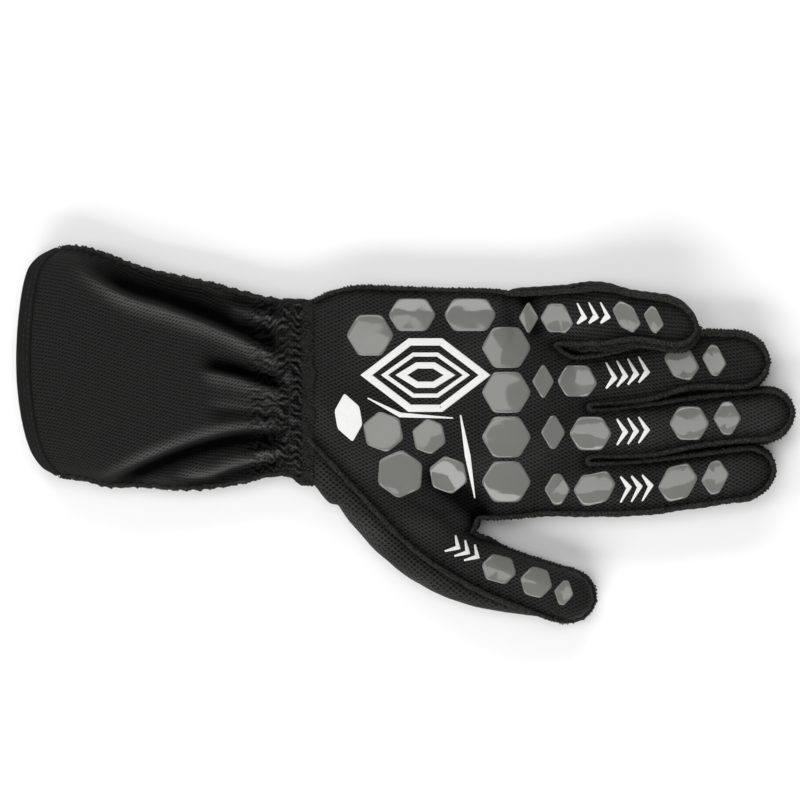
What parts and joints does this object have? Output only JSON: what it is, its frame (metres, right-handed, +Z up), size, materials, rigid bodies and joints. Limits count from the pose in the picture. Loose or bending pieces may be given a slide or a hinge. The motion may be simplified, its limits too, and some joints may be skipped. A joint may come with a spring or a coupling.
{
  "type": "karting glove",
  "caption": "Right-hand karting glove of mesh knit with a long gauntlet cuff, gathered wrist, overlocked outer seams and silicone grip pads, lying palm up.",
  "frame": {"origin": "on the surface the glove lies on, below the middle of its bounding box", "axes": "+X from the cuff's mouth to the fingertips, +Y towards the little finger, +Z up out of the palm"},
  "size_m": [0.323, 0.1552, 0.0285],
  "materials": {
    "knit_cloth": "matte black mesh knit",
    "overlock_thread": "fuzzy black overlocked seam",
    "grip_silicone": "glossy grey silicone print"
  },
  "bodies": {
    "root": {"palm_panel": "knit_cloth", "fourchette_little_ring": "knit_cloth", "fourchette_ring_middle": "knit_cloth", "fourchette_middle_index": "knit_cloth", "back_panel": "knit_cloth", "cuff_front": "knit_cloth", "cuff_back": "knit_cloth", "cuff_hem": "knit_cloth", "seam_front": "overlock_thread", "seam_thumb": "overlock_thread", "seam_cuff_little": "overlock_thread", "seam_cuff_thumb": "overlock_thread", "seam_back_little_ring": "overlock_thread", "seam_back_ring_middle": "overlock_thread", "seam_back_middle_index": "overlock_thread", "seam_wrist": "overlock_thread", "grip_palm_a": "grip_silicone", "grip_palm_b": "grip_silicone", "grip_palm_c": "grip_silicone", "grip_palm_d": "grip_silicone", "grip_palm_e": "grip_silicone", "grip_palm_f": "grip_silicone", "grip_palm_g": "grip_silicone", "grip_palm_h": "grip_silicone", "grip_palm_i": "grip_silicone", "grip_palm_j": "grip_silicone", "grip_palm_k": "grip_silicone", "grip_thumb_a": "grip_silicone", "grip_thumb_b": "grip_silicone", "grip_thumb_c": "grip_silicone", "grip_little_a": "grip_silicone", "grip_little_b": "grip_silicone", "grip_little_c": "grip_silicone", "grip_little_d": "grip_silicone", "grip_ring_a": "grip_silicone", "grip_ring_b": "grip_silicone", "grip_ring_c": "grip_silicone", "grip_ring_d": "grip_silicone", "grip_middle_a": "grip_silicone", "grip_middle_b": "grip_silicone", "grip_middle_c": "grip_silicone", "grip_middle_d": "grip_silicone", "grip_index_a": "grip_silicone", "grip_index_b": "grip_silicone", "grip_index_c": "grip_silicone", "grip_index_d": "grip_silicone"}
  },
  "joints": []
}
